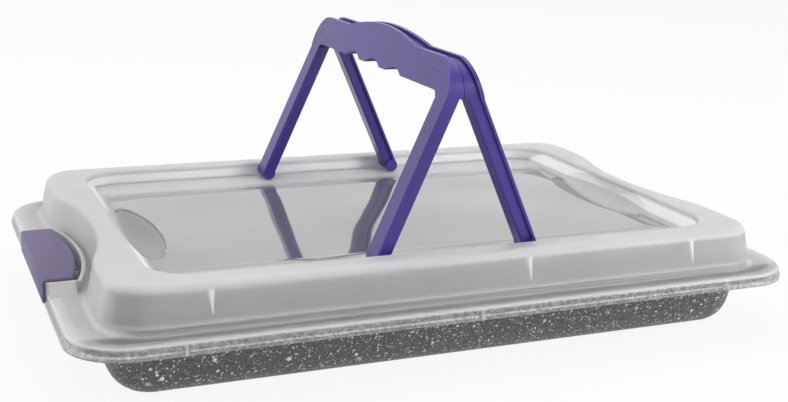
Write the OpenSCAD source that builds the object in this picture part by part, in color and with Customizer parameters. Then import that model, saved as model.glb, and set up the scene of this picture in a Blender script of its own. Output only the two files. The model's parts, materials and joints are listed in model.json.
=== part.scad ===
// Rectangular cake pan with a carrying lid and two folding bails.
// X runs along the pan, Y across it, Z up. The origin is the middle of the pan's base.

/* [Pan] */
// Length of the pan over its rim
pan_l = 418.2; // [400:0.2:440]
// Width of the pan over its rim
pan_w = 282; // [270:0.5:300]
// Height of the pan from its base to the top of its rim
pan_h = 38.6; // [36:0.2:46]
// Thickness of the pan's sheet with its coating
sheet_t = 1.2; // [0.8:0.1:1.6]
// Flat width of the rim along the pan's sides
rim_side = 11.1; // [10:0.1:13]
// Flat width of the rim at the pan's corners, along X
rim_end = 10.1; // [9:0.1:12]
// Radius of the rim's corners
rim_r = 26; // [24:0.5:30]
// Slope of the pan's walls, in degrees from upright
pan_draft = 13.2; // [10:0.2:16]
// Outer radius between the base and the walls
base_r = 20; // [14:0.5:22]
// Corner radius of the flat base
base_corner_r = 4; // [3:0.5:10]
// Inner radius where the walls turn into the rim
rim_bend_r = 3; // [2:0.5:4]
// Outer radius of the rim's turned-down edge
lip_r = 2; // [1.8:0.1:2.2]
// Depth of the turned-down lip below the rim's top face
lip_h = 4.5; // [3.5:0.1:5]

/* [Waisted ends] */
// Depth of the waist in each end of the pan and of the lid's dome
waist_d = 12; // [11.5:0.1:12.5]
// Width of the waist
waist_w = 168; // [160:1:170]
// Radius of the shoulders beside the waist, at the dome's foot
shoulder_r = 90; // [80:1:110]

/* [Pan grips] */
// Width of each silicone grip along the end of the pan
grip_w = 100.8; // [90:0.4:110]
// Reach of a grip inwards from the rim's edge
grip_in = 15.9; // [15:0.1:16]
// Reach of a grip outwards from the rim's edge
grip_out = 6.9; // [6.5:0.1:10]
// Rise of the arc that closes the grip's inner side
grip_sag = 7.3; // [6:0.1:8]
// Height of the grip above the rim's top face
grip_over = 8.5; // [8:0.1:10]
// Depth of the grip below the rim's top face
grip_under = 5.2; // [4.5:0.1:6]
// Softened edge of the grip
grip_edge = 1; // [0.6:0.1:1.5]
// Width of the pan's handle tab inside a grip
tab_w = 88; // [80:1:88]
// Reach of the handle tab past the rim's edge
tab_out = 3; // [2:0.5:4]
// Clearance between a grip's slot and the sheet in it
slot_gap = 0.1; // [0.05:0.05:0.2]

/* [Lid] */
// Wall thickness of the lid
lid_t = 2; // [1.6:0.1:2.2]
// Clearance between the rim's edge and the lid's skirt
skirt_gap = 3.1; // [2.6:0.1:4]
// Depth of the skirt below the rim's top face
skirt_h = 5.3; // [4.8:0.1:8]
// Outer radius of the skirt's top edge
skirt_edge_r = 3; // [2.5:0.1:3.5]
// Height of the bead round the foot of the skirt
bead_h = 2; // [1.5:0.1:2.5]
// How far the bead stands out
bead_out = 0.8; // [0.5:0.1:1.2]
// Width of the flange along the lid's sides
flange_side = 11.6; // [11:0.1:14]
// Width of the flange at the lid's corners, along X
flange_end = 16.7; // [16:0.1:19]
// Height of the dome above the flange
dome_h = 24.3; // [23:0.1:28]
// Slope of the dome's walls, in degrees from upright
dome_draft = 10.9; // [9:0.1:12]
// Radius of the dome's corners in plan, at its foot
dome_r = 26; // [24:0.5:30]
// Radius over the dome's crest
crest_r = 6; // [5:0.1:7]
// Radius at the dome's foot
foot_r = 3; // [2.5:0.1:3.5]
// Height of the collars round the pan's grips, above the flange
collar_h = 5.5; // [4.5:0.1:6]
// Clearance between a collar and the side of a grip
collar_gap = 1.6; // [1.2:0.1:2]
// Clearance between a collar and the middle of a grip's arc
collar_arc_gap = 3.4; // [3:0.1:3.6]
// Width of the ramps beside the collars
ramp_w = 8; // [6:0.5:10]

/* [Lid recess] */
// Distance from the dome's foot to the recess, along the sides
crest_side = 19.5; // [19:0.1:21]
// Distance from the dome's foot to the recess, at the ends
crest_end = 27.2; // [27:0.1:31]
// Depth of the recess below the crest
recess_d = 9.1; // [8.8:0.1:9.4]
// Corner radius of the recess
recess_r = 24; // [20:0.5:28]
// Radius of the crest's inner edge
recess_edge_r = 2; // [1.5:0.1:2.5]
// Run of the sloping wall at each end of the recess
end_run = 7.8; // [6:0.1:8]
// Width of the ledge along each side of the recess floor
ledge_w = 23; // [21:0.5:25]
// Run of the slope from a ledge down to the middle panel
panel_run = 15.5; // [12:0.5:18]
// Depth of the middle panel below the ledges
panel_d = 1.2; // [0.8:0.1:1.6]
// Length of a finger scoop between its tips, on its own axis
scoop_l = 169.4; // [150:0.4:170]
// Radius of a finger scoop at its middle
scoop_r = 16; // [15:0.1:17]
// Distance of a scoop's axis from the end of the recess
scoop_in = 14.5; // [14:0.1:16]
// Depth of a scoop's axis below the crest
scoop_axis_d = 1.3; // [1:0.1:1.6]
// Thickness of the stiffening ribs
rib_t = 2; // [1.2:0.1:2.4]
// Depth of a rib at its top
rib_d = 6; // [4:0.1:7]
// Distance of the outer ribs from the end of the recess
rib_in = 26.3; // [20:0.1:30]
// Length of the snap nubs inside the skirt
nub_l = 4; // [3:0.5:10]
// Distance of the outer nubs from the ends of the skirt
nub_in = 54; // [45:0.5:80]
// Clearance between a nub and the rim's edge
nub_gap = 0.8; // [0.5:0.1:1.2]

/* [Bails] */
// Distance between the two bails' pivots
pivot_span = 91.6; // [86:0.2:98]
// Height of the grip's shoulders above the pivots
bail_h = 108.6; // [100:0.2:112]
// Clearance between a leg and the side of the recess
bail_gap = 1.7; // [1.6:0.1:2]
// Thickness of a leg
leg_t = 8.5; // [8:0.1:9]
// Width of a leg's face plate
leg_w = 14.5; // [13.5:0.1:16]
// Width of the rib behind the face plate
web_w = 11.4; // [10:0.1:13]
// Thickness of the face plate
plate_t = 2.2; // [1.8:0.1:3]
// Radius of the leg's edges
leg_edge_r = 0.8; // [0.5:0.1:1]
// Clearance under a bail's foot
foot_gap = 0.43; // [0.3:0.01:0.6]
// Height of the hand grip, from its elbow to its shoulders
hand_h = 21.5; // [20:0.1:23]
// Depth of the palm bar below the shoulders
palm_h = 18.5; // [17:0.1:19.5]
// Distance from the meeting face to the middle of the legs at the elbow
elbow_in = 7.2; // [7:0.1:8]
// Thickness of the hand grip at its shoulders
hand_top_t = 5.8; // [5:0.1:7]
// Outer radius of the elbows
elbow_r = 20; // [17:0.5:20.5]
// Radius between the legs and the palm bar
palm_r = 4; // [2:0.5:6]
// Rise of the hump over the shoulders
hump_h = 6.5; // [4:0.1:7]
// Length of the hump
hump_l = 108; // [96:1:116]
// Depth of the finger grooves
finger_d = 3.8; // [2:0.1:4.5]
// Length of one finger groove
finger_l = 24; // [20:0.5:28]
// Distance between the finger grooves
finger_pitch = 34; // [31:0.5:36]
// Gap between the two halves of the hand grip
mate_gap = 0.3; // [0.2:0.05:0.6]

/* [Pivots] */
// Radius of the pivot bores
bore_r = 2.75; // [2.5:0.05:3]
// Running clearance round a pivot pin
pin_gap = 0.08; // [0.02:0.01:0.1]
// Depth of a pivot bore from the recess wall
bore_d = 6; // [5:0.1:6.5]
// Free length left past the end of a pin
pin_end_gap = 0.4; // [0.3:0.1:0.8]
// Radius of the shoulder at a pin's root
pin_shoulder_r = 4; // [3.6:0.1:4.2]
// Running clearance between that shoulder and the recess wall
shoulder_gap = 0.4; // [0.3:0.1:0.6]
// Width of a boss along the recess wall
boss_w = 20; // [14:0.5:24]

/* [Hidden] */
$fn = 72;
over = 1;      // how far two solids that make one piece run into each other
arc_steps = 8; // straight pieces in each drawn arc

rim_x = pan_l/2;
rim_y = pan_w/2;
// The wall's outer line runs from the base rounding to the rim bend, which it touches at this height
bend_z = pan_h - sheet_t - rim_bend_r;
base_end_x = base_r*cos(pan_draft);
base_end_z = base_r*(1 - sin(pan_draft));
bend_run = base_end_x + rim_bend_r*cos(pan_draft)
         + (bend_z + rim_bend_r*sin(pan_draft) - base_end_z)*tan(pan_draft);
bend_x = round(1000*bend_run)/1000;
base_x = rim_x - rim_end - bend_x;
base_y = rim_y - rim_side - bend_x;

flange_z = pan_h + lid_t;
crest_z = flange_z + dome_h;
skirt_x = rim_x + skirt_gap + lid_t;
skirt_y = rim_y + skirt_gap + lid_t;
skirt_r = rim_r + skirt_gap + lid_t;
dome_x = skirt_x - flange_end;
dome_y = skirt_y - flange_side;
// Centre of the crest rounding, and of the foot rounding, as offsets from the dome's foot line
crest_cz = crest_z - crest_r;
crest_cx = -(crest_r + (crest_cz - flange_z)*sin(dome_draft))/cos(dome_draft);
foot_cx = foot_r*(1 - sin(dome_draft))/cos(dome_draft);
// The waist's shoulders and its middle are arcs that meet at this angle
waist_half = waist_w/2;
waist_angle = 2*atan(waist_d/waist_half);
waist_sum_r = waist_half/sin(waist_angle);
// Plans of the dome's foot and of the pan's base: half length, half width, corner and shoulder radius
dome_plan = [dome_x, dome_y, dome_r, shoulder_r];
base_plan = [base_x, base_y, base_corner_r, shoulder_r - bend_x];

rec_x = dome_x - crest_end;
rec_y = dome_y - crest_side;
floor_z = crest_z - recess_d;
panel_z = floor_z - panel_d;
panel_y = rec_y - ledge_w;
end_slope = end_run/(recess_d - recess_edge_r);
scoop_x = rec_x - scoop_in;
scoop_z = crest_z - scoop_axis_d;

grip_y = grip_w/2;
grip_arc_r = (grip_y*grip_y + grip_sag*grip_sag)/(2*grip_sag);
grip_x = rim_x - grip_in;
collar_x = grip_x - collar_arc_gap;
collar_y = grip_y + collar_gap;
// A ramp starts where the collar's arc has turned far enough
ramp_start = collar_x + grip_sag + lid_t;
ramp_end = skirt_x - lid_t/2;

pivot_x = pivot_span/2;
pivot_z = floor_z + foot_gap + leg_t/2;
shoulder_z = pivot_z + bail_h;
elbow_z = shoulder_z - hand_h;
bail_y = rec_y - bail_gap;
lean = atan((pivot_x - elbow_in)/(elbow_z - pivot_z));
leg_l = (elbow_z - pivot_z)/cos(lean);
// The outer face of the hand grip starts where the legs' outer faces reach the elbow
elbow_x = elbow_in + leg_t/2/cos(lean);
hand_lean = (elbow_x - hand_top_t)/hand_h;
pin_r = bore_r - pin_gap;
// Snap nubs on the long sides and ribs in the dome, by their place along X
nub_places = [nub_in - skirt_x, 0, skirt_x - nub_in];
rib_places = [rec_x - rib_in, pivot_x - boss_w/2];

// Points of an arc about c from angle a0 to a1
function arc(c, r, a0, a1, n = arc_steps) =
    [for (i = [0:n]) c + r*[cos(a0 + (a1 - a0)*i/n), sin(a0 + (a1 - a0)*i/n)]];
function reversed(p) = [for (i = [len(p) - 1:-1:0]) p[i]];

module rounded_rect(a, b, r) {
    square([2*(a - r), 2*b], center = true);
    square([2*a, 2*(b - r)], center = true);
    for (mx = [-1, 1], my = [-1, 1]) translate([mx*(a - r), my*(b - r)]) circle(r);
}

module rounded_plate(a, b, r, z, h) {
    translate([0, 0, z]) linear_extrude(h) rounded_rect(a, b, r);
}

// Carries a section round a rounded rectangle. The section's x points outwards and its y is the height.
module ring_sweep(a, b, r) {
    for (m = [0, 1]) mirror([0, m, 0])
        translate([-(a - r), b, 0]) rotate([90, 0, 90]) linear_extrude(2*(a - r)) children();
    for (m = [0, 1]) mirror([m, 0, 0])
        translate([a, b - r, 0]) rotate([90, 0, 0]) linear_extrude(2*(b - r)) children();
    for (mx = [0, 1], my = [0, 1]) mirror([mx, 0, 0]) mirror([0, my, 0])
        translate([a - r, b - r, 0]) rotate_extrude(angle = 90) translate([r, 0]) children();
}

// Centres of the shoulder arc and of the waist arc at the right end of a plan
function shoulder_centre(plan) = [plan[0] - plan[3], waist_half];
function waist_centre(plan) = [plan[0] - waist_d + waist_sum_r - plan[3], 0];

// Carries a section round a plan whose ends are waisted
module waisted_sweep(plan) {
    x = plan[0] - plan[2];
    y = plan[1] - plan[2];
    for (m = [0, 1]) mirror([0, m, 0])
        translate([-x, plan[1], 0]) rotate([90, 0, 90]) linear_extrude(2*x) children();
    for (mx = [0, 1], my = [0, 1]) mirror([mx, 0, 0]) mirror([0, my, 0]) {
        translate([x, y, 0]) rotate_extrude(angle = 90) translate([plan[2], 0]) children();
        translate([plan[0], y, 0]) rotate([90, 0, 0]) linear_extrude(y - waist_half) children();
        // The shoulder and the waist are joined in line with the X axis, then turned into place
        intersection() {
            translate(shoulder_centre(plan)) rotate(-waist_angle) {
                rotate_extrude(angle = 2*waist_angle) translate([plan[3], 0]) children();
                translate([waist_sum_r, 0]) mirror([1, 0]) rotate_extrude(angle = -2*waist_angle)
                    translate([waist_sum_r - plan[3], 0]) mirror([1, 0]) children();
            }
            cube([2*plan[0], waist_half, 2*crest_z]);
        }
    }
}

// One quarter of a waisted plan, moved inwards by d, from the middle of the end to the side
function waisted_quarter(plan, d) = concat(
    arc(waist_centre(plan), waist_sum_r - plan[3] + d, 180, 180 - waist_angle),
    arc(shoulder_centre(plan), plan[3] - d, -waist_angle, 0),
    arc([plan[0] - plan[2], plan[1] - plan[2]], plan[2] - d, 0, 90));

module waisted_outline(plan, d) {
    q = waisted_quarter(plan, d);
    half = concat(reversed([for (p = q) [p[0], -p[1]]]), q);
    polygon(concat(half, reversed([for (p = half) [-p[0], p[1]]])));
}

// Pan

module pan_wall_section() {
    tail = 2*over;
    outer = concat([[-tail, 0]], arc([0, base_r], base_r, 270, 360 - pan_draft),
        arc([bend_x, bend_z], rim_bend_r, 180 - pan_draft, 90), [[bend_x + tail, pan_h - sheet_t]]);
    inner = concat([[-tail, sheet_t]], arc([0, base_r], base_r - sheet_t, 270, 360 - pan_draft),
        arc([bend_x, bend_z], rim_bend_r + sheet_t, 180 - pan_draft, 90), [[bend_x + tail, pan_h]]);
    polygon(concat(outer, reversed(inner)));
}

module pan_lip_section() {
    tail = 2*over;
    c = [0, pan_h - lip_r];
    polygon(concat([[-tail, pan_h]], arc(c, lip_r, 90, 0), [[lip_r, pan_h - lip_h]],
        [[lip_r - sheet_t, pan_h - lip_h]], arc(c, lip_r - sheet_t, 0, 90), [[-tail, pan_h - sheet_t]]));
}

module pan() color("dimgray") {
    linear_extrude(sheet_t) waisted_outline(base_plan, over);
    waisted_sweep(base_plan) pan_wall_section();
    // Flat rim between the wall's bend and the lip
    difference() {
        rounded_plate(rim_x - lip_r - over, rim_y - lip_r - over, rim_r - lip_r - over,
            pan_h - sheet_t, sheet_t);
        linear_extrude(pan_h + over) waisted_outline(base_plan, -bend_x - over);
    }
    // The lip stops at the two tabs, so that the grips slide on
    difference() {
        ring_sweep(rim_x - lip_r, rim_y - lip_r, rim_r - lip_r) pan_lip_section();
        for (m = [0, 1]) mirror([m, 0, 0])
            translate([rim_x - 2*lip_r, -grip_y - collar_gap, 0])
                cube([3*lip_r, grip_w + 2*collar_gap, pan_h - sheet_t]);
    }
    for (m = [0, 1]) mirror([m, 0, 0])
        translate([rim_x - rim_end/2, -tab_w/2, pan_h - sheet_t])
            cube([rim_end/2 + tab_out, tab_w, sheet_t]);
}

// Silicone grips

// A rectangle whose inner side is an arc with its middle at x_in
module d_shape(x_in, x_out, y) {
    intersection() {
        translate([x_in + grip_arc_r, 0]) circle(grip_arc_r, $fn = 180);
        translate([x_in - 1, -y]) square([x_out - x_in + 1, 2*y]);
    }
}

module right_grip_body() {
    x_out = rim_x + grip_out;
    z0 = pan_h - grip_under;
    z1 = pan_h + grip_over;
    difference() {
        hull() {
            translate([0, 0, z0 + grip_edge]) linear_extrude(z1 - z0 - 2*grip_edge)
                d_shape(grip_x, x_out, grip_y);
            translate([0, 0, z0]) linear_extrude(z1 - z0)
                d_shape(grip_x + grip_edge, x_out - grip_edge, grip_y - grip_edge);
        }
        // Slot for the rim and for the tab past it
        translate([grip_x - 1, -grip_y - 1, pan_h - sheet_t - slot_gap])
            cube([grip_in + 1 + slot_gap, grip_w + 2, sheet_t + 2*slot_gap]);
        translate([rim_x - 1, -tab_w/2 - slot_gap, pan_h - sheet_t - slot_gap])
            cube([1 + tab_out + slot_gap, tab_w + 2*slot_gap, sheet_t + 2*slot_gap]);
    }
}

module right_grip() color("mediumpurple") right_grip_body();
module left_grip() color("mediumpurple") mirror([1, 0, 0]) right_grip_body();

// Lid

module skirt_section() {
    tail = 2*over;
    c = [-skirt_edge_r, flange_z - skirt_edge_r];
    foot_z = pan_h - skirt_h;
    polygon(concat([[c[0] - tail, flange_z]], arc(c, skirt_edge_r, 90, 0),
        [[0, foot_z + bead_h + bead_out], [bead_out, foot_z + bead_h], [bead_out, foot_z]],
        [[-lid_t, foot_z]], arc(c, skirt_edge_r - lid_t, 0, 90), [[c[0] - tail, pan_h]]));
}

module dome_section() {
    tail = 2*over;
    foot = [foot_cx, flange_z + foot_r];
    crest = [crest_cx, crest_cz];
    outer = concat([[foot_cx + tail, flange_z]], arc(foot, foot_r, 270, 180 + dome_draft),
        arc(crest, crest_r, dome_draft, 90), [[crest_cx - tail, crest_z]]);
    inner = concat([[foot_cx + tail, pan_h]], arc(foot, foot_r + lid_t, 270, 180 + dome_draft),
        arc(crest, crest_r - lid_t, dome_draft, 90), [[crest_cx - tail, crest_z - lid_t]]);
    polygon(concat(outer, reversed(inner)));
}

// Recess, grown by t on every face
module recess_space(t, top) {
    low = panel_z - 3*lid_t;
    end_t = t*sqrt(1 + end_slope*end_slope);
    function end_at(z) = rec_x - end_run + (z - floor_z)*end_slope + end_t;
    side = rec_y + t + over;
    long = rec_x + t + over;
    intersection() {
        rounded_plate(rec_x + t, rec_y + t, recess_r + t, low, top - low);
        translate([-long, 0, 0]) rotate([90, 0, 90]) linear_extrude(2*long) polygon([
            [-side, floor_z - t], [-panel_y, floor_z - t], [-panel_y + panel_run, panel_z - t],
            [panel_y - panel_run, panel_z - t], [panel_y, floor_z - t], [side, floor_z - t],
            [side, top + over], [-side, top + over]]);
        translate([0, side, 0]) rotate([90, 0, 0]) linear_extrude(2*side) polygon([
            [-end_at(low), low], [end_at(low), low], [end_at(top + over), top + over],
            [-end_at(top + over), top + over]]);
    }
}

// Spindle that forms a finger scoop, grown by t
module scoop_space(t) {
    half = scoop_l/2;
    r = (half*half + scoop_r*scoop_r)/(2*scoop_r);
    a = asin(half/r);
    for (m = [0, 1]) mirror([m, 0, 0]) translate([scoop_x, 0, scoop_z]) rotate([90, 0, 0])
        rotate_extrude() intersection() {
            polygon(concat([[0, (r + t)*sin(a)]], arc([scoop_r - r, 0], r + t, a, -a, 24),
                [[0, -(r + t)*sin(a)]]));
            translate([0, -half - t]) square([scoop_r + t + over, 2*(half + t)]);
        }
}

// Rounds the crest's inner edge
module recess_edge() {
    ring_sweep(rec_x, rec_y, recess_r) difference() {
        translate([-over, crest_z - recess_edge_r]) square([recess_edge_r + over, recess_edge_r + over]);
        translate([recess_edge_r, crest_z - recess_edge_r]) circle(recess_edge_r);
    }
}

// Wedge-shaped rib inside the dome's long wall
module side_rib() {
    function wall_y(z) = dome_y - lid_t/cos(dome_draft) - (z - flange_z)*tan(dome_draft);
    bury = 0.4*lid_t;
    foot = flange_z + dome_h*0.3;
    crest = [dome_y + crest_cx, crest_cz];
    translate([-rib_t/2, 0, 0]) rotate([90, 0, 90]) linear_extrude(rib_t) polygon(concat(
        [[wall_y(foot) + bury, foot]], arc(crest, crest_r - lid_t + bury, 0, 90),
        [[crest[0] - rib_d/2, crest_cz + crest_r - lid_t + bury], [wall_y(crest_cz) - rib_d, crest_cz]]));
}

module pivot_boss() {
    translate([-boss_w/2, rec_y + lid_t/2, panel_z])
        cube([boss_w, bore_d + lid_t/2, crest_z - lid_t/2 - panel_z]);
}

// Wall round a pan grip, still filled, and the ramps that lead up to it on both sides
module collar() {
    top = flange_z + collar_h;
    ramp_y = collar_y + lid_t;
    translate([0, 0, pan_h]) linear_extrude(top - pan_h)
        d_shape(collar_x - lid_t, skirt_x, collar_y + lid_t);
    // End of the collar, in line with the skirt
    translate([skirt_x - lid_t, -ramp_y, pan_h - skirt_h]) cube([lid_t, 2*ramp_y, top - pan_h + skirt_h]);
    for (m = [0, 1]) mirror([0, m, 0])
        translate([ramp_start, 0, 0]) rotate([90, 0, 90]) linear_extrude(ramp_end - ramp_start)
            polygon([[ramp_y - over, pan_h], [ramp_y - over, top], [ramp_y, top],
                [ramp_y + ramp_w, flange_z], [ramp_y + ramp_w, pan_h]]);
}

// Space inside a collar, for the pan's grip, and under its ramps
module collar_space() {
    ramp_y = collar_y + lid_t;
    translate([0, 0, pan_h - skirt_h - over]) linear_extrude(skirt_h + lid_t + collar_h + 2*over)
        d_shape(collar_x, skirt_x + 3*bead_out, collar_y);
    for (m = [0, 1]) mirror([0, m, 0])
        translate([ramp_start + lid_t, 0, 0]) rotate([90, 0, 90])
            linear_extrude(ramp_end - ramp_start - 2*lid_t)
                polygon([[ramp_y, pan_h - over], [ramp_y, flange_z + collar_h - lid_t],
                    [ramp_y + ramp_w - lid_t, pan_h - over]]);
}

module lid() color("gainsboro", 0.75) {
    difference() {
        union() {
            ring_sweep(skirt_x, skirt_y, skirt_r) skirt_section();
            // Flange between the skirt and the dome
            difference() {
                rounded_plate(skirt_x - skirt_edge_r - over, skirt_y - skirt_edge_r - over,
                    skirt_r - skirt_edge_r - over, pan_h, lid_t);
                translate([0, 0, pan_h - over]) linear_extrude(lid_t + 2*over)
                    waisted_outline(dome_plan, -foot_cx - over);
            }
            waisted_sweep(dome_plan) dome_section();
            for (m = [0, 1]) mirror([m, 0, 0]) collar();
            // Crest, recess floor and finger scoops
            translate([0, 0, crest_z - lid_t]) linear_extrude(lid_t)
                waisted_outline(dome_plan, -crest_cx + over);
            recess_space(lid_t, crest_z - lid_t/2);
            intersection() {
                scoop_space(lid_t);
                rounded_plate(rec_x + lid_t, rec_y, recess_r, pan_h, crest_z - lid_t/2 - pan_h);
            }
            for (m = [0, 1]) mirror([0, m, 0]) {
                for (s = [-1, 1], x = rib_places) translate([s*x, 0, 0]) side_rib();
                for (s = [-1, 1]) translate([s*pivot_x, 0, 0]) pivot_boss();
                for (x = nub_places) translate([x - nub_l/2, rim_y + nub_gap, pan_h - skirt_h])
                    cube([nub_l, skirt_gap - nub_gap + lid_t/2, lip_h]);
            }
        }
        recess_space(0, crest_z + over);
        recess_edge();
        intersection() {
            scoop_space(0);
            rounded_plate(rec_x, rec_y, recess_r, pan_h, crest_z - recess_edge_r - pan_h);
        }
        for (sx = [-1, 1], sy = [0, 1]) mirror([0, sy, 0])
            translate([sx*pivot_x, rec_y - over, pivot_z]) rotate([-90, 0, 0])
                cylinder(r = bore_r, h = bore_d + over);
        for (m = [0, 1]) mirror([m, 0, 0]) collar_space();
    }
}

// Bails

// Cross-sections of a leg's two layers: x is its thickness, y runs inwards from the bail's outer side
module leg_plate() {
    translate([-leg_t/2 + plate_t/2, -leg_w/2]) rounded_rect(plate_t/2, leg_w/2, leg_edge_r);
}

module leg_web() {
    translate([0, -leg_w/2]) rounded_rect(leg_t/2, web_w/2, leg_edge_r);
}

// Leaning layer of a leg, cut level at its top
module leg_layer(top) {
    intersection() {
        translate([-pivot_x, bail_y, pivot_z]) rotate([0, lean, 0]) linear_extrude(leg_l + leg_t) children();
        translate([-pivot_span, 0, 0]) cube([pivot_span, rec_y, top]);
    }
}

// Leaning leg with its foot and pin
module bail_leg() {
    leg_layer(elbow_z) leg_plate();
    // The web runs on inside the hand grip, to below the start of the elbow's rounding
    leg_layer((elbow_z + shoulder_z - elbow_r)/2) leg_web();
    translate([-pivot_x, bail_y, pivot_z]) {
        rotate([90, 0, 0]) cylinder(d = leg_t, h = leg_w);
        translate([0, -over, 0]) rotate([-90, 0, 0])
            cylinder(r = pin_shoulder_r, h = over + bail_gap - shoulder_gap);
        translate([0, -over, 0]) rotate([-90, 0, 0])
            cylinder(r = pin_r, h = over + bail_gap + bore_d - pin_end_gap);
    }
}

// Hand grip seen from the end: its outer face leans in towards the top. The layer is t thick along X.
module hand_profile(t) {
    top_z = shoulder_z + hump_h + over;
    top_x = -elbow_x + (top_z - elbow_z)*hand_lean;
    polygon([[-elbow_x + t, elbow_z], [-elbow_x, elbow_z], [top_x, top_z], [top_x + t, top_z]]);
}

// Parabolic arch from -w to w, h high, with its base sunk by the overlap
module arch(w, h, n) {
    polygon(concat([[-w, -sign(h)*over]],
        [for (i = [0:n]) let (y = w*(2*i/n - 1)) [y, h*(1 - y*y/(w*w))]], [[w, -sign(h)*over]]));
}

// Hand grip seen from the side: elbows, shoulders, hump and finger grooves. Its rim is inset by d.
module hand_outline(d) {
    palm_z = shoulder_z - palm_h;
    difference() {
        union() {
            difference() {
                translate([0, shoulder_z - 2*hand_h]) rounded_rect(bail_y - d, 2*hand_h - d, elbow_r - d);
                translate([0, palm_z - 2*hand_h]) rounded_rect(bail_y - leg_w + d, 2*hand_h, palm_r);
            }
            translate([0, shoulder_z - d]) arch(hump_l/2, hump_h, 16);
        }
        for (y = [-finger_pitch, 0, finger_pitch]) translate([y, palm_z])
            arch(finger_l/2, finger_d, 10);
    }
}

// One layer of the hand grip, t thick along X, with its rim inset by d
module hand_layer(t, d) {
    intersection() {
        translate([0, bail_y + over, 0]) rotate([90, 0, 0]) linear_extrude(2*(bail_y + over)) hand_profile(t);
        translate([-2*elbow_x, 0, 0]) rotate([90, 0, 90]) linear_extrude(4*elbow_x) hand_outline(d);
    }
}

module left_bail_body() {
    intersection() {
        union() {
            for (m = [0, 1]) mirror([0, m, 0]) bail_leg();
            // The face plate stands proud of the rest of the grip, as it does on the legs
            hand_layer(plate_t/cos(lean), 0);
            hand_layer(2*elbow_x, (leg_w - web_w)/2);
        }
        // Both halves of the hand grip stop just short of the middle
        translate([-pivot_span - mate_gap/2, -rec_y - 2*bore_d, 0])
            cube([pivot_span, 2*rec_y + 4*bore_d, shoulder_z + 2*hump_h + 2*over]);
    }
}

module left_bail() color("darkslateblue") left_bail_body();
module right_bail() color("darkslateblue") mirror([1, 0, 0]) left_bail_body();

pan();
left_grip();
right_grip();
lid();
left_bail();
right_bail();
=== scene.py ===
"""Cake pan with a carrying lid and two folding bails, on a plain pale floor."""

import json
from math import pi, radians

import bpy
from bpy.props import FloatProperty, FloatVectorProperty, PointerProperty
from bpy.types import Operator, Panel, PropertyGroup
from mathutils import Matrix, Vector

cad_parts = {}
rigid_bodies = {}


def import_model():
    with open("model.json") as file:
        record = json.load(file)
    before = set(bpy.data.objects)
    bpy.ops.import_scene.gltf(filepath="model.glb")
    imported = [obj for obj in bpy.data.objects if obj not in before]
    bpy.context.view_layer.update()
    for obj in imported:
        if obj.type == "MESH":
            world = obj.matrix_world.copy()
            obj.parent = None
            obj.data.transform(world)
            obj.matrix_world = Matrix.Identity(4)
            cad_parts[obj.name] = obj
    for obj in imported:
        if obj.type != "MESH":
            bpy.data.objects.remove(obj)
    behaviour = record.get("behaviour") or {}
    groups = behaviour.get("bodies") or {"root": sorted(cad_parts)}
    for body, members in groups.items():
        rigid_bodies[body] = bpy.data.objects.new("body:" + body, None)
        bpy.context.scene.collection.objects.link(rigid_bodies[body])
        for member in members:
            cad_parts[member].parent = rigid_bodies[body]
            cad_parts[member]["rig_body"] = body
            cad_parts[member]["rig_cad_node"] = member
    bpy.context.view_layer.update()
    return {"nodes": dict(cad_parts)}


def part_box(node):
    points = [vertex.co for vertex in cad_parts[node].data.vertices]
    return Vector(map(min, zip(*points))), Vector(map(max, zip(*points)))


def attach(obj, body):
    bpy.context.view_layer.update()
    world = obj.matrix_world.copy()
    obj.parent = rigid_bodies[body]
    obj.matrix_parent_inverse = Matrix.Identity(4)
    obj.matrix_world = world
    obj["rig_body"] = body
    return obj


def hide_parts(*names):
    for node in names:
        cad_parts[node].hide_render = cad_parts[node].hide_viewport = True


bl_info = {
    "name": "Cake Pan With Lid",
    "version": (1, 0, 0),
    "blender": (4, 5, 0),
    "location": "View3D > Sidebar > Cake Pan",
    "description": "Dresses the frame of a cake pan with its lid and two folding bails",
    "category": "Object",
}

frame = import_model()

# All lengths are in metres. A span is the pair of values between which a mask changes, and a band
# is a middle, the half width that is full, and the width over which it fades.
RISING = (0.0, 1.0)
FALLING = (1.0, 0.0)

# Heights that come from the frame
HAND_BULGE = 0.0065
LID_SHEET = 0.002
PANEL_DROP = 0.0103
HAND_TOP_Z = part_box("left_bail")[1].z - HAND_BULGE
LID_TOP_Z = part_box("lid")[1].z
FLANGE_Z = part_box("pan")[1].z + LID_SHEET
PANEL_Z = LID_TOP_Z - PANEL_DROP

# The moulded lines on the face of a hand grip, inside its outline, bumped and darkened with
# painted shade
ELBOW_R = 0.020
LEG_OUT_Y = 0.1133
LINE_INSETS = (0.0035, 0.0085)
LINE_HALF, LINE_FADE = 0.0002, 0.0004
LINE_SPAN_ALONG_HAND = (-0.026, -0.006)
LINE_SPAN_DOWN_LEG = (-0.045, -0.01)

# The polished floor of the lid's recess, the scoops in it and the walls round it
PANEL_SPAN_X = (0.1585, 0.1625)
PANEL_SPAN_Y = (0.0765, 0.092)
PANEL_SPAN_Z = (PANEL_Z + 0.0009, PANEL_Z + 0.0013)
SCOOP_SPAN_Z = (PANEL_Z - 0.0008, PANEL_Z - 0.0004)
# Painted light: inside these spans the walls round the recess are painted white
RECESS_SPAN_X = (0.1723, 0.1733)
RECESS_SPAN_Y = (0.1171, 0.1181)
RECESS_WALL_BAND_Z = (LID_TOP_Z - 0.0055, 0.002, 0.001)

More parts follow.
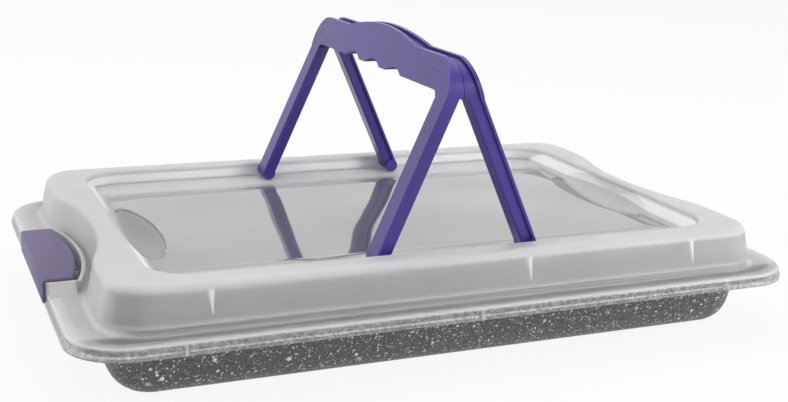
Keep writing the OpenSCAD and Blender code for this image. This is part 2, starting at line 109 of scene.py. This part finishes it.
# The long sides of the dome, with ribs behind them that get narrower downwards
DOME_BAND_Z = ((FLANGE_Z + LID_TOP_Z) / 2, 0.006, 0.004)
DOME_SPAN_Y = (0.108, 0.126)
# Painted highlight: white fins are painted on the wall where these ribs stand behind it
RIB_PLACES = (-0.144, 0.0358, 0.144)
RIB_SPAN_Z = (LID_TOP_Z - 0.017, LID_TOP_Z - 0.005)
RIB_WIDTHS = (0.0006, 0.0034)
RIB_STEEP_SIDE = (-0.5, -0.1)
RIB_SOFT_SIDE = (0.0, 1.0)
RIB_BAND_Z = (LID_TOP_Z - 0.0105, 0.0055, 0.0015)
RIB_SPAN_Y = (0.118, 0.12)

# The flange and its skirt, with nubs behind the skirt
FLANGE_BAND_Z = (FLANGE_Z + 0.001, 0.0015, 0.001)
FLANGE_SPAN_Y = (0.126, 0.134)
EDGE_BAND_Z = (FLANGE_Z - 0.0008, 0.0003, 0.0004)
SKIRT_SPAN_Z = (FLANGE_Z - 0.0025, FLANGE_Z - 0.0013)
# Painted shade: below this height the skirt is painted with a dark mottle that stands in for the
# dark pan rim seen through it
SKIRT_SHADE_SPAN_Z = (FLANGE_Z - 0.0020, FLANGE_Z - 0.0013)
NUB_PLACES = (0.1602, 0.0)
NUB_HALF, NUB_FADE = 0.0007, 0.0004
NUB_SPAN_Z = (FLANGE_Z - 0.0018, FLANGE_Z - 0.001)
NUB_SPAN_Y = (0.138, 0.139)

# How strongly the painted highlights on the ribs and the skirt's rounded edge, and the whiter
# nubs, show
RIB_HIGHLIGHT_SHARE, NUB_SHARE, EDGE_HIGHLIGHT_SHARE = 0.75, 0.4, 0.3

# Levels of the lid's colour, and the light that passes, where a zone differs from the rest. The
# darker colour levels are painted shade: on the skirt, on the floor of the recess and in its
# scoops.
SKIRT_SHADE_SHARE, SKIRT_SHADE_TONE = 0.75, 0.3
PANEL_SHADE_TONE, SCOOP_SHADE_TONE = 0.22, 0.46
THICK_CLEARNESS, FLANGE_CLEARNESS, SCOOP_CLEARNESS = 0.1, 0.8, 0.3
SMOOTH_ROUGHNESS = 0.25

# Spans of a noise's value: the narrower the span, the harder the pattern's edges
WIDE_SPAN = (0.2, 0.8)
MIDDLE_SPAN = (0.3, 0.7)
NARROW_SPAN = (0.35, 0.65)
MOTTLE_SPAN = (0.38, 0.62)

# Layers of specks in the coating: cells per metre, share of cells with a speck, size in a cell
SPECK_LAYERS = ((150.0, 0.22, 0.27), (290.0, 0.42, 0.36), (560.0, 0.5, 0.46), (900.0, 0.45, 0.5))
SPECK_CORE = 0.55
SPECK_LEVELS = (0.5, 1.0)

# Lamps: name, setting with the power, width, place, and the point that it faces
LAMPS = (
    ("top_light", "top_power", 1.6, (0.1, 0.25, 1.5), (0, 0, 0)),
    ("side_light", "side_power", 2.4, (-1.65, 0.95, 1.3), (0, 0, 0.05)),
    ("front_light", "front_power", 0.7, (1.0, -0.95, 0.5), (0.05, 0, 0.05)),
)

# The camera that was fitted to the photo: from the front left and a little above
CAMERA_PLACE = (-0.29209, -0.71530, 0.26405)
CAMERA_YAW = radians(24.388)
CAMERA_PITCH = radians(-10.905)
CAMERA_ROLL = radians(2.0816)
CAMERA_LENS_MM = 57.09
CAMERA_SENSOR_MM = 36
CAMERA_SHIFT = (-0.0491, -0.1015)
CAMERA_NEAR = 0.01

# Merging and softening of a copied node
MERGE_DISTANCE = 1e-6
FLAT_ANGLE = radians(0.3)
SHARP_ANGLE = radians(35)
EDGE_STEPS = 2

WHITE = (1.0, 1.0, 1.0, 1.0)


# Settings


class StageSettings(PropertyGroup):
    floor_colour: FloatVectorProperty(
        name="Floor colour", description="Colour of the floor under the pan",
        subtype="COLOR", size=3, min=0, max=1, default=(0.9, 0.9, 0.9))
    floor_size: FloatProperty(
        name="Floor size", description="Width of the square floor",
        unit="LENGTH", min=1, max=40, default=12)
    floor_white: FloatProperty(
        name="White floor", description="How far the floor is seen as plain white",
        subtype="FACTOR", min=0, max=1, default=0.9)
    ambient: FloatProperty(
        name="Ambient light", description="Strength of the light from all round",
        min=0, max=1.5, default=0.48)
    top_power: FloatProperty(
        name="Top light", description="Power of the wide light above the pan",
        unit="POWER", min=0, max=200, default=8)
    side_power: FloatProperty(
        name="Side light", description="Power of the light from the back left",
        unit="POWER", min=0, max=200, default=19)
    front_power: FloatProperty(
        name="Front light", description="Power of the light from the front right",
        unit="POWER", min=0, max=200, default=10)


class PanSettings(PropertyGroup):
    coating: FloatVectorProperty(
        name="Coating", description="Ground colour of the stone-effect coating",
        subtype="COLOR", size=3, min=0, max=1, default=(0.115, 0.113, 0.115))
    speck: FloatVectorProperty(
        name="Specks", description="Colour of the specks in the coating",
        subtype="COLOR", size=3, min=0, max=1, default=(0.95, 0.94, 0.93))


class GripSettings(PropertyGroup):
    colour: FloatVectorProperty(
        name="Silicone", description="Colour of the silicone grips",
        subtype="COLOR", size=3, min=0, max=1, default=(0.125, 0.095, 0.205))
    edge: FloatProperty(
        name="Soft edge", description="Radius on the edges of a grip",
        unit="LENGTH", min=0.0001, max=0.002, default=0.0008)


class LidSettings(PropertyGroup):
    plastic: FloatVectorProperty(
        name="Plastic", description="Colour of the milky plastic",
        subtype="COLOR", size=3, min=0, max=1, default=(0.90, 0.882, 0.888))
    clearness: FloatProperty(
        name="Clearness", description="Share of the light that passes the matt plastic",
        subtype="FACTOR", min=0, max=1, default=0.45)
    wall_clearness: FloatProperty(
        name="Wall clearness",
        description="Share of the light that passes the dome wall and the skirt",
        subtype="FACTOR", min=0, max=1, default=0.72)
    panel_clearness: FloatProperty(
        name="Panel clearness",
        description="Share of the light that passes the polished floor of the recess",
        subtype="FACTOR", min=0, max=1, default=0.15)
    roughness: FloatProperty(
        name="Roughness", description="Roughness of the matt plastic",
        subtype="FACTOR", min=0, max=1, default=0.4)
    panel_roughness: FloatProperty(
        name="Panel roughness", description="Roughness of the polished floor of the recess",
        subtype="FACTOR", min=0, max=1, default=0.07)


class BailSettings(PropertyGroup):
    colour: FloatVectorProperty(
        name="Bail plastic", description="Colour of the two bails",
        subtype="COLOR", size=3, min=0, max=1, default=(0.043, 0.022, 0.235))
    roughness: FloatProperty(
        name="Roughness", description="Roughness of the bails",
        subtype="FACTOR", min=0, max=1, default=0.26)


# Nodes of the materials


class Nodes:
    """Builds the nodes of one material or of the world."""

    def __init__(self, tree, output):
        self.tree = tree
        tree.nodes.clear()
        self.output = tree.nodes.new(output)

    def add(self, kind, settings=None, **inputs):
        """Adds a node. An input is named with _ for spaces, or by n and its number."""
        node = self.tree.nodes.new(kind)
        for key, value in (settings or {}).items():
            setattr(node, key, value)
        for key, value in inputs.items():
            by_number = key[0] == "n" and key[1:].isdigit()
            socket = node.inputs[int(key[1:]) if by_number else key.replace("_", " ")]
            if isinstance(value, bpy.types.NodeSocket):
                self.tree.links.new(value, socket)
            else:
                socket.default_value = value
        return node

    def finish(self, shader):
        """Gives a shader to the output."""
        self.tree.links.new(shader.outputs[0], self.output.inputs[0])

    def maths(self, operation, a, b=0.0):
        return self.add("ShaderNodeMath", {"operation": operation}, n0=a, n1=b).outputs[0]

    def vector(self, operation, **inputs):
        return self.add("ShaderNodeVectorMath", {"operation": operation}, **inputs).outputs

    def all_of(self, *masks):
        """The product of masks."""
        result = masks[0]
        for mask in masks[1:]:
            result = self.maths("MULTIPLY", result, mask)
        return result

    def any_of(self, *masks):
        """The highest of masks."""
        result = masks[0]
        for mask in masks[1:]:
            result = self.maths("MAXIMUM", result, mask)
        return result

    def step(self, value, span, ends=RISING):
        """Goes smoothly from the first end to the second while the value crosses the span."""
        return self.add("ShaderNodeMapRange", {"interpolation_type": "SMOOTHSTEP"}, Value=value,
                        From_Min=span[0], From_Max=span[1],
                        To_Min=ends[0], To_Max=ends[1]).outputs["Result"]

    def near(self, value, middle, half, fade):
        """1 within half of a middle, falling to 0 over the fade."""
        off = self.maths("ABSOLUTE", self.maths("SUBTRACT", value, middle))
        return self.step(off, (half, half + fade), FALLING)

    def noise(self, place, scale, detail=3.0, roughness=0.55):
        return self.add("ShaderNodeTexNoise", Vector=place, Scale=scale, Detail=detail,
                        Roughness=roughness).outputs["Fac"]

    def mix(self, share, a, b):
        """Mixes two colours."""
        return self.add("ShaderNodeMix", {"data_type": "RGBA"}, n0=share, n6=a, n7=b).outputs[2]

    def blend(self, share, a, b):
        """Mixes two numbers."""
        return self.add("ShaderNodeMix", n0=share, n2=a, n3=b).outputs[0]

    def bump(self, height, strength, distance, settings=None, **inputs):
        return self.add("ShaderNodeBump", settings, Strength=strength, Distance=distance,
                        Height=height, **inputs).outputs[0]

    def object_place(self):
        return self.add("ShaderNodeTexCoord").outputs["Object"]

    def axes(self, place):
        return self.add("ShaderNodeSeparateXYZ", Vector=place).outputs

    def seen_directly(self):
        """1 where the camera sees a surface, also in a mirror or through clear plastic."""
        path = self.add("ShaderNodeLightPath").outputs
        mirrored = self.any_of(path["Is Glossy Ray"], path["Is Transmission Ray"])
        return self.any_of(path["Is Camera Ray"], mirrored)


def start_material(name):
    """A new material and the builder of its nodes."""
    material = bpy.data.materials.new(name)
    material.use_nodes = True
    return material, Nodes(material.node_tree, "ShaderNodeOutputMaterial")


def opaque(colour, level=1.0):
    """A colour at a level, with full alpha."""
    return (colour[0] * level, colour[1] * level, colour[2] * level, 1.0)


def specks(nodes, place, scale, share, size):
    """Round specks in a share of a pattern's cells, each with its own size and lightness."""
    cells = nodes.add("ShaderNodeTexVoronoi", Vector=place, Scale=scale).outputs
    chance = nodes.add("ShaderNodeSeparateColor", Color=cells["Color"]).outputs
    reach = nodes.step(chance[0], (1 - share, 1.0), (0.0, size))
    core = nodes.maths("MULTIPLY", reach, SPECK_CORE)
    mask = nodes.step(cells["Distance"], (core, reach), FALLING)
    present = nodes.maths("GREATER_THAN", chance[0], 1 - share)
    return nodes.all_of(mask, present, nodes.step(chance[1], RISING, SPECK_LEVELS))


def coating_material(colour, speck):
    """Stone-effect non-stick coating: dark ground, fine grain and pale specks of many sizes."""
    material, nodes = start_material("pan_coating")
    place = nodes.object_place()
    grain = nodes.noise(place, scale=900.0, detail=3.0, roughness=0.7)
    cloud = nodes.noise(place, scale=60.0)
    ground = nodes.mix(nodes.step(grain, NARROW_SPAN), opaque(colour, 0.5), opaque(colour, 1.5))
    ground = nodes.mix(nodes.step(cloud, NARROW_SPAN, (0.0, 0.35)), ground, opaque(colour, 0.7))

    # A bent place makes the specks' outlines uneven
    bend = nodes.add("ShaderNodeTexNoise", Vector=place, Scale=700.0, Detail=1.0).outputs["Color"]
    bend = nodes.vector("SCALE", Vector=bend, Scale=0.0011)[0]
    bent = nodes.vector("ADD", n0=place, n1=bend)[0]
    marks = nodes.any_of(*[specks(nodes, bent, *layer) for layer in SPECK_LAYERS])
    height = nodes.maths("ADD", nodes.maths("MULTIPLY", grain, 0.5), marks)
    nodes.finish(nodes.add(
        "ShaderNodeBsdfPrincipled", Base_Color=nodes.mix(marks, ground, opaque(speck)),
        Roughness=0.48, IOR=1.45, Normal=nodes.bump(height, strength=0.35, distance=0.0002)))
    return material


def silicone_material(colour):
    """Matt silicone with a fine grain and faint lighter wear."""
    material, nodes = start_material("silicone")
    place = nodes.object_place()
    cloud = nodes.noise(place, scale=45.0, detail=4.0)
    grain = nodes.noise(place, scale=2200.0, detail=2.0)
    face = nodes.mix(nodes.step(cloud, MIDDLE_SPAN), opaque(colour, 0.9), opaque(colour, 1.1))
    nodes.finish(nodes.add(
        "ShaderNodeBsdfPrincipled", Base_Color=face,
        Roughness=nodes.step(cloud, MIDDLE_SPAN, (0.62, 0.78)),
        Sheen_Weight=0.15, Sheen_Roughness=0.5,
        Normal=nodes.bump(grain, strength=0.25, distance=0.0001)))
    return material


def bail_material(colour, roughness):
    """Moulded purple plastic with faint flow marks and fine lines on the hand grip, darkened with
    painted shade.
    """
    material, nodes = start_material("bail_plastic")
    place = nodes.object_place()
    cloud = nodes.noise(place, scale=24.0, detail=1.0)
    face = nodes.mix(nodes.step(cloud, WIDE_SPAN), opaque(colour, 0.85), opaque(colour, 1.15))

    # The lines follow the grip's outline, from the legs round the elbows
    _, y, z = nodes.axes(place)
    over = nodes.maths("SUBTRACT", nodes.maths("ABSOLUTE", y), LEG_OUT_Y - ELBOW_R)
    up = nodes.maths("SUBTRACT", z, HAND_TOP_Z - ELBOW_R)
    corner = nodes.add("ShaderNodeCombineXYZ", X=nodes.maths("MAXIMUM", over, 0.0),
                       Y=nodes.maths("MAXIMUM", up, 0.0)).outputs[0]
    reach = nodes.vector("LENGTH", Vector=corner)["Value"]
    lines = nodes.any_of(*[nodes.near(reach, ELBOW_R - inset, LINE_HALF, LINE_FADE)
                           for inset in LINE_INSETS])
    lines = nodes.all_of(lines, nodes.step(over, LINE_SPAN_ALONG_HAND),
                         nodes.step(up, LINE_SPAN_DOWN_LEG))
    # Painted shade: beside their bump, the lines are darkened as if shade lay in their grooves
    face = nodes.mix(nodes.maths("MULTIPLY", lines, 0.35), face, opaque(colour, 0.45))
    nodes.finish(nodes.add(
        "ShaderNodeBsdfPrincipled", Base_Color=face, IOR=1.5,
        Roughness=nodes.step(cloud, WIDE_SPAN, (roughness - 0.04, roughness + 0.06)),
        Normal=nodes.bump(lines, strength=0.7, distance=0.0004, settings={"invert": True})))
    return material


def lid_zones(nodes, place):
    """Masks of the lid's zones, by name: 1 in a zone and 0 beside it."""
    x, y, z = nodes.axes(place)
    far_x, far_y = nodes.maths("ABSOLUTE", x), nodes.maths("ABSOLUTE", y)

    in_floor = nodes.all_of(nodes.step(far_y, PANEL_SPAN_Y, FALLING),
                            nodes.step(far_x, PANEL_SPAN_X, FALLING))
    above_scoops = nodes.step(z, SCOOP_SPAN_Z)
    # Painted light: the walls round the recess are painted white, as if lit through the lid from
    # behind
    recess_wall = nodes.all_of(nodes.near(z, *RECESS_WALL_BAND_Z),
                               nodes.step(far_y, RECESS_SPAN_Y, FALLING),
                               nodes.step(far_x, RECESS_SPAN_X, FALLING))

    # Thick places are painted whiter: painted highlights as white fins where ribs stand behind
    # the long walls and as a white line along the skirt's rounded edge, and whiter nubs in the
    # skirt
    rib_width = nodes.step(z, RIB_SPAN_Z, RIB_WIDTHS)
    ribs = []
    for rib_x in RIB_PLACES:
        off = nodes.maths("DIVIDE", nodes.maths("SUBTRACT", rib_x, x), rib_width)
        ribs.append(nodes.all_of(nodes.step(off, RIB_STEEP_SIDE),
                                 nodes.step(off, RIB_SOFT_SIDE, FALLING)))
    on_wall = nodes.all_of(nodes.near(z, *RIB_BAND_Z), nodes.step(far_y, RIB_SPAN_Y))
    nubs = [nodes.near(far_x, nub_x, NUB_HALF, NUB_FADE) for nub_x in NUB_PLACES]
    on_skirt = nodes.all_of(nodes.step(z, NUB_SPAN_Z, FALLING), nodes.step(far_y, NUB_SPAN_Y))
    thick = nodes.any_of(nodes.all_of(nodes.any_of(*ribs), on_wall, RIB_HIGHLIGHT_SHARE),
                         nodes.all_of(nodes.any_of(*nubs), on_skirt, NUB_SHARE),
                         nodes.all_of(nodes.near(z, *EDGE_BAND_Z), EDGE_HIGHLIGHT_SHARE))
    return {
        "panel": nodes.all_of(in_floor, nodes.step(z, PANEL_SPAN_Z, FALLING), above_scoops),
        "scoop": nodes.all_of(in_floor, nodes.maths("SUBTRACT", 1.0, above_scoops)),
        "recess_wall": recess_wall,
        "thick": thick,
        "skirt": nodes.step(z, SKIRT_SPAN_Z, FALLING),
        "skirt_shade": nodes.step(z, SKIRT_SHADE_SPAN_Z, FALLING),
        "flange": nodes.all_of(nodes.near(z, *FLANGE_BAND_Z), nodes.step(far_y, FLANGE_SPAN_Y)),
        "dome": nodes.all_of(nodes.near(z, *DOME_BAND_Z), nodes.step(far_y, DOME_SPAN_Y)),
    }


def lid_colour(nodes, place, zones, plastic):
    """Milky white with faint clouds, painted shade as a dark mottle on the skirt and as a darker
    floor and scoops in the recess, and painted light as white on the recess walls, the rib fins
    and the skirt's edge, with whiter nubs.
    """
    cloud = nodes.noise(place, scale=22.0)
    milk = nodes.mix(nodes.step(cloud, MIDDLE_SPAN), opaque(plastic, 0.95), opaque(plastic))
    # Painted shade: a dark mottle on the skirt stands in for the dark pan rim seen through it
    mottle = nodes.step(nodes.noise(place, scale=420.0, detail=4.0, roughness=0.75), MOTTLE_SPAN)
    skirt_shade = nodes.all_of(mottle, zones["skirt_shade"], SKIRT_SHADE_SHARE)
    milk = nodes.mix(skirt_shade, milk, opaque(plastic, SKIRT_SHADE_TONE))
    # Painted shade: the floor and the scoops of the recess are painted darker grey than the rest
    # of the lid
    milk = nodes.mix(zones["panel"], milk, opaque(plastic, PANEL_SHADE_TONE))
    milk = nodes.mix(zones["scoop"], milk, opaque(plastic, SCOOP_SHADE_TONE))
    # Painted light: the recess walls and the painted highlights of the thick places are mixed to
    # white
    return nodes.mix(nodes.any_of(zones["thick"], zones["recess_wall"]), milk, WHITE)


def lid_clearness(nodes, zones, settings):
    """Share of the light that passes each zone of the lid."""
    clear = nodes.blend(nodes.any_of(zones["dome"], zones["skirt"]),
                        settings.clearness, settings.wall_clearness)
    for zone, share in (("recess_wall", THICK_CLEARNESS), ("flange", FLANGE_CLEARNESS),
                        ("scoop", SCOOP_CLEARNESS), ("panel", settings.panel_clearness),
                        ("thick", THICK_CLEARNESS)):
        clear = nodes.blend(zones[zone], clear, share)
    return clear


def lid_material(settings):
    """Milky plastic, matt outside, with a polished floor in the recess."""
    material, nodes = start_material("clear_plastic")
    place = nodes.object_place()
    zones = lid_zones(nodes, place)
    panel = zones["panel"]
    smooth = nodes.blend(nodes.any_of(zones["skirt"], zones["scoop"]),
                         settings.roughness, SMOOTH_ROUGHNESS)

    # The matt face has a fine grain, and the polished floor is gently wavy
    grain = nodes.noise(place, scale=700.0, detail=2.0)
    matt = nodes.all_of(grain, nodes.maths("SUBTRACT", 1.0, panel))
    ripple = nodes.all_of(nodes.noise(place, scale=12.0, detail=0.0), panel)
    fine = nodes.bump(matt, strength=0.12, distance=0.0001)
    wave = nodes.bump(ripple, strength=0.6, distance=0.005, Normal=fine)
    nodes.finish(nodes.add(
        "ShaderNodeBsdfPrincipled",
        Base_Color=lid_colour(nodes, place, zones, settings.plastic),
        Roughness=nodes.blend(panel, smooth, settings.panel_roughness), IOR=1.5,
        Transmission_Weight=lid_clearness(nodes, zones, settings),
        Coat_Weight=panel, Coat_Roughness=0.04, Normal=wave, Coat_Normal=wave))
    return material


# Pieces made from the frame


def paint(node, material):
    """Gives a node of the frame its material."""
    source = frame["nodes"][node]
    source.data.materials.clear()
    source.data.materials.append(material)


def dress(name, node, body, material, soften):
    """A copy of a node with softened edges, which replaces the node in the picture."""
    source = frame["nodes"][node]
    bpy.ops.object.select_all(action="DESELECT")
    source.select_set(True)
    bpy.context.view_layer.objects.active = source
    bpy.ops.object.duplicate()
    piece = bpy.context.view_layer.objects.active
    bpy.ops.object.parent_clear(type="CLEAR_KEEP_TRANSFORM")
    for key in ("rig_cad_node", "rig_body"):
        if key in piece:
            del piece[key]
    piece.name = name
    piece.data.name = name
    bpy.ops.object.mode_set(mode="EDIT")
    bpy.ops.mesh.select_all(action="SELECT")
    bpy.ops.mesh.remove_doubles(threshold=MERGE_DISTANCE)
    bpy.ops.mesh.dissolve_limited(angle_limit=FLAT_ANGLE)
    bpy.ops.mesh.normals_make_consistent(inside=False)
    bpy.ops.object.mode_set(mode="OBJECT")
    bevel = piece.modifiers.new("Soft edges", "BEVEL")
    bevel.width = soften
    bevel.segments = EDGE_STEPS
    bevel.limit_method = "ANGLE"
    bevel.angle_limit = SHARP_ANGLE
    bevel.use_clamp_overlap = True
    bpy.ops.object.modifier_apply(modifier=bevel.name)
    bpy.ops.object.shade_smooth_by_angle(angle=SHARP_ANGLE)
    piece.data.materials.clear()
    piece.data.materials.append(material)
    paint(node, material)
    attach(piece, body)
    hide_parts(node)


# Stage


def add_floor(settings):
    """A pale floor that is seen nearly white and keeps the pan's shadow."""
    bpy.ops.object.select_all(action="DESELECT")
    bpy.ops.mesh.primitive_plane_add(size=settings.floor_size)
    floor = bpy.context.view_layer.objects.active
    floor.name = "floor"
    material, nodes = start_material("floor")
    cloud = nodes.noise(nodes.object_place(), scale=3.0)
    shade = nodes.mix(nodes.step(cloud, MIDDLE_SPAN),
                      opaque(settings.floor_colour, 0.985), opaque(settings.floor_colour))
    matt = nodes.add("ShaderNodeBsdfDiffuse", Color=shade)
    white = nodes.add("ShaderNodeEmission", Color=WHITE, Strength=1.0)
    seen = nodes.maths("MULTIPLY", nodes.seen_directly(), settings.floor_white)
    nodes.finish(nodes.add("ShaderNodeMixShader", n0=seen, n1=matt.outputs[0],
                           n2=white.outputs[0]))
    floor.data.materials.append(material)
    return floor


def add_world(scene, settings):
    """A white backdrop that lights the pan at the ambient level."""
    world = bpy.data.worlds.new("backdrop")
    scene.world = world
    world.use_nodes = True
    nodes = Nodes(world.node_tree, "ShaderNodeOutputWorld")
    strength = nodes.step(nodes.seen_directly(), RISING, (settings.ambient, 1.0))
    nodes.finish(nodes.add("ShaderNodeBackground", Color=WHITE, Strength=strength))


def add_lamp(name, power, width, place, aim):
    """A square lamp that faces a point."""
    towards = Vector(aim) - Vector(place)
    bpy.ops.object.light_add(type="AREA", location=place,
                             rotation=towards.to_track_quat("-Z", "Y").to_euler())
    lamp = bpy.context.view_layer.objects.active
    lamp.name = name
    lamp.data.name = name
    lamp.data.energy = power
    lamp.data.size = width
    return lamp


def add_camera(scene):
    """The photo's view."""
    turn = (Matrix.Rotation(-CAMERA_YAW, 4, "Z") @ Matrix.Rotation(pi / 2 + CAMERA_PITCH, 4, "X")
            @ Matrix.Rotation(CAMERA_ROLL, 4, "Z"))
    bpy.ops.object.camera_add(location=CAMERA_PLACE, rotation=turn.to_euler())
    camera = bpy.context.view_layer.objects.active
    camera.name = "camera"
    camera.data.sensor_fit = "HORIZONTAL"
    camera.data.sensor_width = CAMERA_SENSOR_MM
    camera.data.lens = CAMERA_LENS_MM
    camera.data.shift_x, camera.data.shift_y = CAMERA_SHIFT
    camera.data.clip_start = CAMERA_NEAR
    scene.camera = camera


# Operators


class CAKEPAN_OT_stage(Operator):
    """Adds the floor, the light and the camera"""

    bl_idname = "cakepan.stage"
    bl_label = "Stage"

    def execute(self, context):
        settings = context.scene.cakepan_stage
        objects = [add_floor(settings)]
        add_world(context.scene, settings)
        for name, power, width, place, aim in LAMPS:
            objects.append(add_lamp(name, getattr(settings, power), width, place, aim))
        add_camera(context.scene)
        context.scene.view_settings.view_transform = "Standard"
        return {"FINISHED"}


class CAKEPAN_OT_pan(Operator):
    """Dresses the pan in its stone-effect coating"""

    bl_idname = "cakepan.pan"
    bl_label = "Pan"

    def execute(self, context):
        settings = context.scene.cakepan_pan
        paint("pan", coating_material(settings.coating, settings.speck))
        return {"FINISHED"}


class CAKEPAN_OT_grips(Operator):
    """Dresses the two silicone grips"""

    bl_idname = "cakepan.grips"
    bl_label = "Grips"

    def execute(self, context):
        settings = context.scene.cakepan_grip
        material = silicone_material(settings.colour)
        for side in ("left", "right"):
            dress(side + "_silicone_grip", side + "_grip", "pan_and_lid", material,
                  settings.edge)
        return {"FINISHED"}


class CAKEPAN_OT_lid(Operator):
    """Dresses the milky lid"""

    bl_idname = "cakepan.lid"
    bl_label = "Lid"

    def execute(self, context):
        paint("lid", lid_material(context.scene.cakepan_lid))
        return {"FINISHED"}


class CAKEPAN_OT_bails(Operator):
    """Dresses the two bails"""

    bl_idname = "cakepan.bails"
    bl_label = "Bails"

    def execute(self, context):
        settings = context.scene.cakepan_bail
        material = bail_material(settings.colour, settings.roughness)
        for side in ("left", "right"):
            paint(side + "_bail", material)
        return {"FINISHED"}


class CAKEPAN_PT_panel(Panel):
    """Lists the pieces of the cake pan"""

    bl_idname = "CAKEPAN_PT_panel"
    bl_label = "Cake Pan With Lid"
    bl_space_type = "VIEW_3D"
    bl_region_type = "UI"
    bl_category = "Cake Pan"

    def draw(self, context):
        for operator, group in STEPS:
            box = self.layout.box()
            box.operator(operator.bl_idname)
            settings = getattr(context.scene, group)
            for name in settings.__annotations__:
                box.prop(settings, name)


STEPS = (
    (CAKEPAN_OT_stage, "cakepan_stage"),
    (CAKEPAN_OT_pan, "cakepan_pan"),
    (CAKEPAN_OT_grips, "cakepan_grip"),
    (CAKEPAN_OT_lid, "cakepan_lid"),
    (CAKEPAN_OT_bails, "cakepan_bail"),
)
GROUPS = (
    ("cakepan_stage", StageSettings),
    ("cakepan_pan", PanSettings),
    ("cakepan_grip", GripSettings),
    ("cakepan_lid", LidSettings),
    ("cakepan_bail", BailSettings),
)


def register():
    for name, group in GROUPS:
        bpy.utils.register_class(group)
        setattr(bpy.types.Scene, name, PointerProperty(type=group))
    for operator, _ in STEPS:
        bpy.utils.register_class(operator)
    bpy.utils.register_class(CAKEPAN_PT_panel)


def unregister():
    bpy.utils.unregister_class(CAKEPAN_PT_panel)
    for operator, _ in reversed(STEPS):
        bpy.utils.unregister_class(operator)
    for name, group in reversed(GROUPS):
        delattr(bpy.types.Scene, name)
        bpy.utils.unregister_class(group)


def main():
    register()
    bpy.ops.cakepan.stage()
    bpy.ops.cakepan.pan()
    bpy.ops.cakepan.grips()
    bpy.ops.cakepan.lid()
    bpy.ops.cakepan.bails()


if __name__ == "__main__":
    main()
